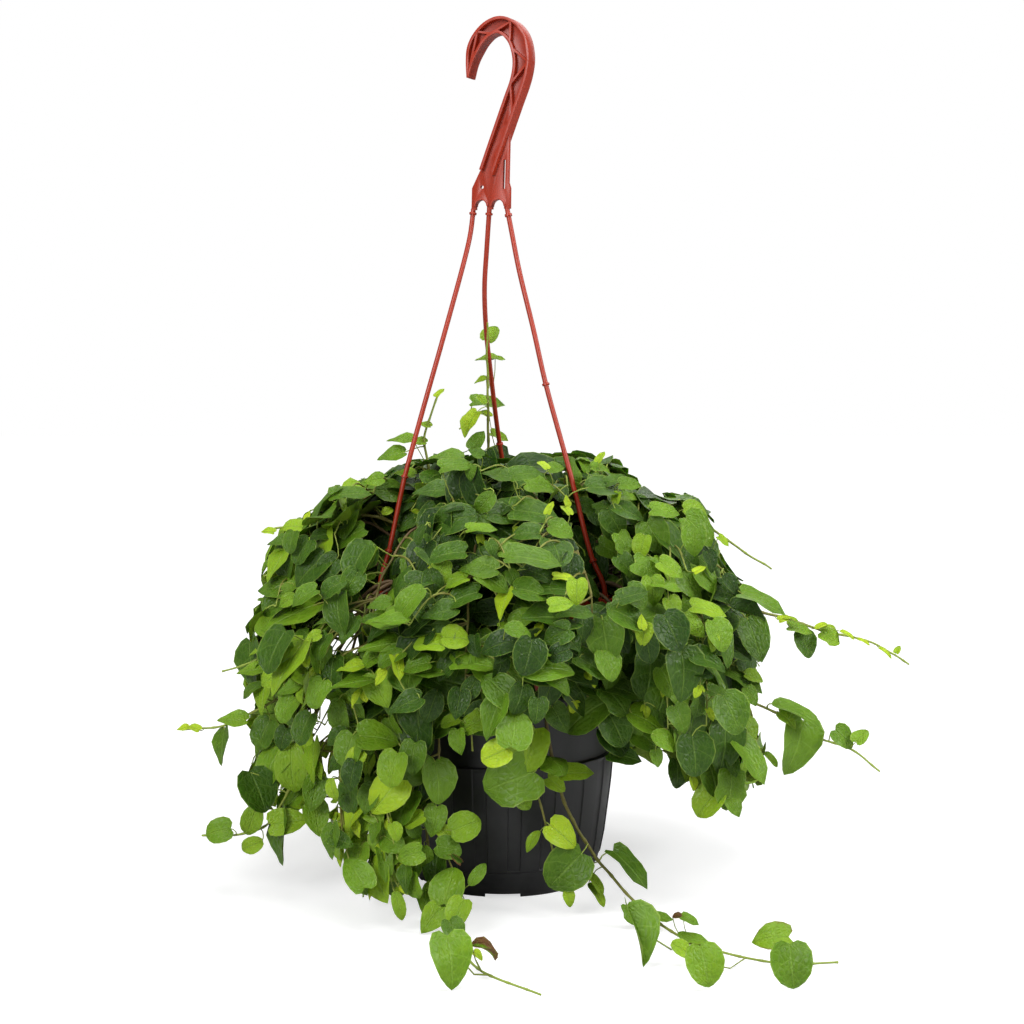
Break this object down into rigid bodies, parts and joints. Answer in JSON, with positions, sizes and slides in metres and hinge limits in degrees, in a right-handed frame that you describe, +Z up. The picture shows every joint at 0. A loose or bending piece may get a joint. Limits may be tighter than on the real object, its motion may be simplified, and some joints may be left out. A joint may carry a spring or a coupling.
{
  "type": "potted creeping fig",
  "caption": "Trailing creeping fig growing in a terracotta hanging bowl with its hook and strands, set in the mouth of a black fluted flower pot.",
  "frame": {"origin": "centre of the flower pot's underside, on the surface it stands on", "axes": "+Z up along the pot's axis, +X to the viewer's right, +Y away from the viewer"},
  "size_m": [0.5588, 0.4633, 0.6507],
  "materials": {
    "black_plastic": "satin moulded",
    "terracotta_plastic": "satin moulded",
    "potting_soil": "crumbly",
    "fig_foliage": "satin leaf"
  },
  "bodies": {
    "root": {"cover_pot": "black_plastic", "hanging_bowl": "terracotta_plastic", "potting_soil": "potting_soil", "hanger_hook": "terracotta_plastic", "hanger_strand_left": "terracotta_plastic", "hanger_strand_right": "terracotta_plastic", "hanger_strand_back": "terracotta_plastic", "vine_right_long": "fig_foliage", "vine_right_upper": "fig_foliage", "vine_right_lower": "fig_foliage", "vine_right_drop": "fig_foliage", "vine_floor_right": "fig_foliage", "vine_front_drop": "fig_foliage", "vine_floor_front": "fig_foliage", "vine_left_mid": "fig_foliage", "vine_left_lower": "fig_foliage", "vine_left_upper": "fig_foliage", "vine_left_sprig": "fig_foliage", "vine_left_tip": "fig_foliage", "vine_climber": "fig_foliage", "vine_tendril": "fig_foliage", "vine_skirt_1": "fig_foliage", "vine_skirt_2": "fig_foliage", "vine_skirt_3": "fig_foliage", "vine_skirt_4": "fig_foliage", "vine_skirt_5": "fig_foliage", "vine_skirt_6": "fig_foliage", "vine_skirt_7": "fig_foliage", "vine_skirt_8": "fig_foliage", "vine_skirt_9": "fig_foliage", "vine_skirt_10": "fig_foliage", "vine_skirt_11": "fig_foliage", "vine_skirt_12": "fig_foliage", "vine_skirt_13": "fig_foliage", "vine_skirt_14": "fig_foliage", "vine_shoulder_1": "fig_foliage", "vine_shoulder_2": "fig_foliage", "vine_shoulder_3": "fig_foliage", "vine_shoulder_4": "fig_foliage", "vine_shoulder_5": "fig_foliage", "vine_shoulder_6": "fig_foliage", "vine_shoulder_7": "fig_foliage", "vine_shoulder_8": "fig_foliage", "vine_shoulder_9": "fig_foliage", "vine_shoulder_10": "fig_foliage", "vine_shoulder_11": "fig_foliage", "vine_shoulder_12": "fig_foliage", "vine_crown_1": "fig_foliage", "vine_crown_2": "fig_foliage", "vine_crown_3": "fig_foliage", "vine_crown_4": "fig_foliage", "vine_crown_5": "fig_foliage", "vine_crown_6": "fig_foliage", "vine_crown_7": "fig_foliage", "vine_crown_8": "fig_foliage", "vine_crown_9": "fig_foliage", "vine_crown_10": "fig_foliage"}
  },
  "joints": []
}
